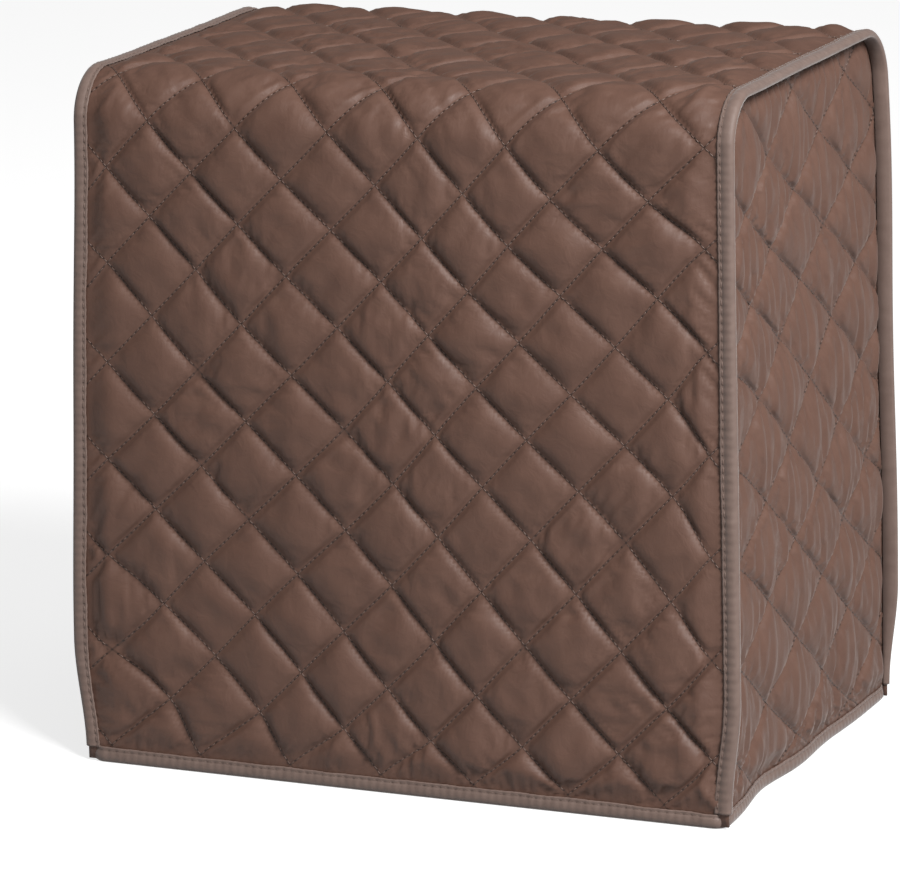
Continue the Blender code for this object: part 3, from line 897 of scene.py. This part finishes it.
def tape_mesh(name, rings, closed, node, path):
    count, size = rings.shape[:2]
    index = np.arange(count * size).reshape(count, size)
    nxt = np.roll(index, -1, axis=0) if closed else index[1:]
    cur = index if closed else index[:-1]
    faces = np.stack([cur, np.roll(cur, -1, 1), np.roll(nxt, -1, 1), nxt], -1).reshape(-1, 4).tolist()
    if not closed:
        faces += [index[0].tolist(), index[-1].tolist()[::-1]]
    across = np.linspace(0, 0.03, size)
    uv = np.stack(np.broadcast_arrays(across[None, :], path[:, None]), -1).reshape(-1, 2)
    made = add_mesh(name, rings.reshape(-1, 3), faces, tape_cloth, {"cloth": uv})
    tidy = bmesh.new()
    tidy.from_mesh(made.data)
    bmesh.ops.recalc_face_normals(tidy, faces=tidy.faces)
    tidy.to_mesh(made.data)
    tidy.free()
    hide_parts(node)
    return made


def tape_polyester():
    """Plain woven polyester tape: matte, a little greyer than the panels, with a fine rib along its edge."""
    made = bpy.data.materials.new("tape_polyester")
    made.use_nodes = True
    tree = made.node_tree
    shader = tree.nodes["Principled BSDF"]
    cloth = add(tree, "ShaderNodeUVMap", {"uv_map": "cloth"}, {})
    mottle = add(
        tree,
        "ShaderNodeTexNoise",
        {},
        {"Vector": cloth.outputs[0], "Scale": 160.0, "Detail": 4.0},
    )
    tint = add(
        tree,
        "ShaderNodeMix",
        {"data_type": "RGBA"},
        {0: mottle.outputs[0], 6: linear("#54433c"), 7: linear("#6c5a52")},
    )
    tree.links.new(tint.outputs[2], shader.inputs["Base Color"])
    stretch = add(
        tree,
        "ShaderNodeMapping",
        {},
        {"Vector": cloth.outputs[0], "Scale": (1400.0, 500.0, 1.0)},
    )
    rib = add(tree, "ShaderNodeTexNoise", {}, {"Vector": stretch.outputs[0], "Scale": 1.0, "Detail": 2.0})
    bump = add(tree, "ShaderNodeBump", {}, {"Strength": 0.35, "Distance": 0.0002, "Height": rib.outputs[0]})
    tree.links.new(bump.outputs[0], shader.inputs["Normal"])
    shader.inputs["Roughness"].default_value = 0.62
    shader.inputs["Specular IOR Level"].default_value = 0.4
    shader.inputs["Sheen Weight"].default_value = 0.2
    shader.inputs["Sheen Roughness"].default_value = 0.45
    return made


tape_cloth = tape_polyester()


def make_seam(name, side, seed):
    """The arch of tape along one side seam, and its row of stitches."""
    hem = HEM_TOP - EDGE_GAP + 0.0002
    stations = int((STRIP_LENGTH - 2 * hem) / SEAM_STATION)
    along = np.linspace(hem, STRIP_LENGTH - hem, stations)
    half = STRIP_LENGTH / 2
    height = np.minimum(half - np.abs(along - half) + EDGE_GAP, CROWN)
    share = FOOT_SHARE + (1 - FOOT_SHARE) * smooth((height - HEM_TOP) / (FOOT - HEM_TOP))
    edge = SEAM_X + SEAM_LEAF * share

    def place(past, out):
        x = edge + past
        straight = strip_raw(along, out)
        return drape(np.stack([side * x, straight[:, 0], straight[:, 1]], -1))

    rings = tape_rings(place, along, share, seed)
    tape = tape_mesh(name + "_tape", rings, False, name, along)
    centre = rings[:, 4]
    count = int(along[-1] / TOPSTITCH)
    spots_at = (np.arange(2, count) + 0.5) * TOPSTITCH
    spots_at = spots_at[(spots_at > along[0] + 0.003) & (spots_at < along[-1] - 0.003)]
    return tape, tape_stitches(name + "_stitches", centre, rings[:, 3], rings[:, 5], along, spots_at, side)


def strip_raw(along, out):
    """(y, z) of the strip's cloth before it is draped."""
    half = STRIP_LENGTH / 2
    side = np.where(along < half, -1.0, 1.0)
    run = half - np.abs(along - half)
    angle = np.clip((run - RISE) / FOLD_RADIUS, 0.0, pi / 2)
    y = FRONT_Y - FOLD_RADIUS * (1 - np.cos(angle)) - np.maximum(run - RISE - TURN, 0)
    z = np.minimum(EDGE_GAP + run, CROWN - FOLD_RADIUS) + FOLD_RADIUS * np.sin(angle)
    return np.stack([side * (y + np.cos(angle) * out), z + np.sin(angle) * out], -1)


def tape_stitches(name, line, before, after, run, at, turn):
    def read(values, where):
        return np.stack([np.interp(where, run, values[:, k]) for k in range(3)], -1)

    centres = read(line, at)
    tangents = unit(read(line, at + 0.001) - read(line, at - 0.001))
    across = unit(read(after, at) - read(before, at))
    normals = unit(np.cross(across, tangents)) * turn
    points, faces = stitch_mesh(
        centres + normals * TOPSTITCH_LIFT,
        tangents,
        normals,
        TOPSTITCH_LENGTH,
        TOPSTITCH_RADIUS,
    )
    return add_mesh(name, points, faces, thread)


right_tape, right_row = make_seam("seam_binding_right", 1, 61)
left_tape, left_row = make_seam("seam_binding_left", -1, 71)

HEM_CORNER = 0.006


def hem_run():
    """(x, y, out x, out y, distance) round the hem, at the middle of the cloth."""
    rows, run = [], 0.0
    end_x, end_y = SIDE_X - HEM_CORNER, FRONT_Y - HEM_CORNER
    for turn, (sx, sy) in enumerate(((1, -1), (1, 1), (-1, 1), (-1, -1))):
        for step in range(10):
            angle = (turn - 1 + step / 9) * pi / 2
            ox, oy = cos(angle), sin(angle)
            x, y = sx * end_x + HEM_CORNER * ox, sy * end_y + HEM_CORNER * oy
            if rows:
                run += sqrt((x - rows[-1][0]) ** 2 + (y - rows[-1][1]) ** 2)
            rows.append((x, y, ox, oy, run))
        length = 2 * (end_y if sx != sy else end_x)
        pieces = int(length / HEM_STATION)
        for step in range(1, pieces):
            d = length * step / pieces
            rows.append((x - oy * d, y + ox * d, ox, oy, run + d))
        run = rows[-1][4]
    return np.array(rows)


path = hem_run()


def hem_place(past, out):
    points = np.stack([path[:, 0] + path[:, 2] * out, path[:, 1] + path[:, 3] * out, EDGE_GAP - past], -1)
    return drape(points)


rings = tape_rings(hem_place, path[:, 4], 1.0, 81)
hem_tape = tape_mesh("hem_binding_tape", rings, True, "hem_binding", path[:, 4])
at = (np.arange(int(path[-1, 4] / TOPSTITCH)) + 0.5) * TOPSTITCH
hem_row = tape_stitches("hem_binding_stitches", rings[:, 4], rings[:, 3], rings[:, 5], path[:, 4], at, -1)

# Studio: a lit white table top that runs on as the backdrop, a soft light high at the front right and
# a room whose walls are bright on that side and dim on the other.
TABLE_GLOW = 0.74
ROOM_DIM = 0.05
ROOM_BRIGHT = 0.45
ROOM_SIDE = Vector((0.64, -0.45, 0.62))
floor_mesh = bpy.data.meshes.new("studio_floor")
floor_mesh.from_pydata([(-30, -30, 0), (30, -30, 0), (30, 60, 0), (-30, 60, 0)], [], [(0, 1, 2, 3)])
studio_floor = bpy.data.objects.new("studio_floor", floor_mesh)
bpy.context.scene.collection.objects.link(studio_floor)
studio_floor.visible_diffuse = False
paper = bpy.data.materials.new("lit_white_acrylic")
paper.use_nodes = True
paper_shader = paper.node_tree.nodes["Principled BSDF"]
paper_shader.inputs["Base Color"].default_value = (0.42, 0.42, 0.42, 1.0)
paper_shader.inputs["Roughness"].default_value = 1.0
paper_shader.inputs["Specular IOR Level"].default_value = 0.0
paper_shader.inputs["Emission Color"].default_value = (1.0, 1.0, 1.0, 1.0)
paper_shader.inputs["Emission Strength"].default_value = TABLE_GLOW
floor_mesh.materials.append(paper)
studio_floor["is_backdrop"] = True

world = bpy.data.worlds.new("white_room")
bpy.context.scene.world = world
world.use_nodes = True
room = world.node_tree
facing = add(room, "ShaderNodeTexCoord", {}, {})
toward = add(
    room,
    "ShaderNodeVectorMath",
    {"operation": "DOT_PRODUCT"},
    {0: facing.outputs["Generated"], 1: ROOM_SIDE},
)
level = add(
    room,
    "ShaderNodeMapRange",
    {"interpolation_type": "SMOOTHSTEP"},
    {
        "Value": toward.outputs["Value"],
        "From Min": -0.6,
        "From Max": 1.0,
        "To Min": ROOM_DIM,
        "To Max": ROOM_BRIGHT,
    },
)
room.links.new(level.outputs[0], room.nodes["Background"].inputs["Strength"])
room.nodes["Background"].inputs["Color"].default_value = (1.0, 1.0, 1.0, 1.0)
bpy.context.scene.view_settings.view_transform = "Standard"

LIGHTS = (
    # name, x, y, z, size, power
    ("key", 1.82, -1.28, 1.97, 0.9, 150),
)
for name, x, y, z, size, power in LIGHTS:
    lamp = bpy.data.lights.new(name, "AREA")
    lamp.size = size
    lamp.energy = power
    holder = bpy.data.objects.new(name, lamp)
    holder.location = (x, y, z)
    aim = Vector((0, 0, 0.2)) - Vector((x, y, z))
    holder.rotation_mode = "QUATERNION"
    holder.rotation_quaternion = aim.to_track_quat("-Z", "Y")
    bpy.context.scene.collection.objects.link(holder)

# Camera: a long lens from the front right and a little above, rolled slightly, as photographed.
AZIMUTH = radians(24.14)
ELEVATION = radians(13.16)
ROLL = radians(-1.48)
LENS = 180
DISTANCE = 2.5022
back = Vector((sin(AZIMUTH) * cos(ELEVATION), -cos(AZIMUTH) * cos(ELEVATION), sin(ELEVATION)))
across = Vector((cos(AZIMUTH), sin(AZIMUTH), 0.0))
upright = back.cross(across)
right = across * cos(ROLL) + upright * sin(ROLL)
up = upright * cos(ROLL) - across * sin(ROLL)
target = Vector((0.0, 0.0, 0.1816)) - right * 0.02083 - up * 0.01624
lens = bpy.data.cameras.new("camera")
lens.lens = LENS
lens.sensor_width = 36
camera = bpy.data.objects.new("camera", lens)
turn = Matrix((right, up, back)).transposed().to_4x4()
camera.matrix_world = Matrix.Translation(target + back * DISTANCE) @ turn
bpy.context.scene.collection.objects.link(camera)
bpy.context.scene.camera = camera

visual_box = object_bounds()
boxes = [[list(corner) for corner in box] for box in (cad_box, visual_box)]
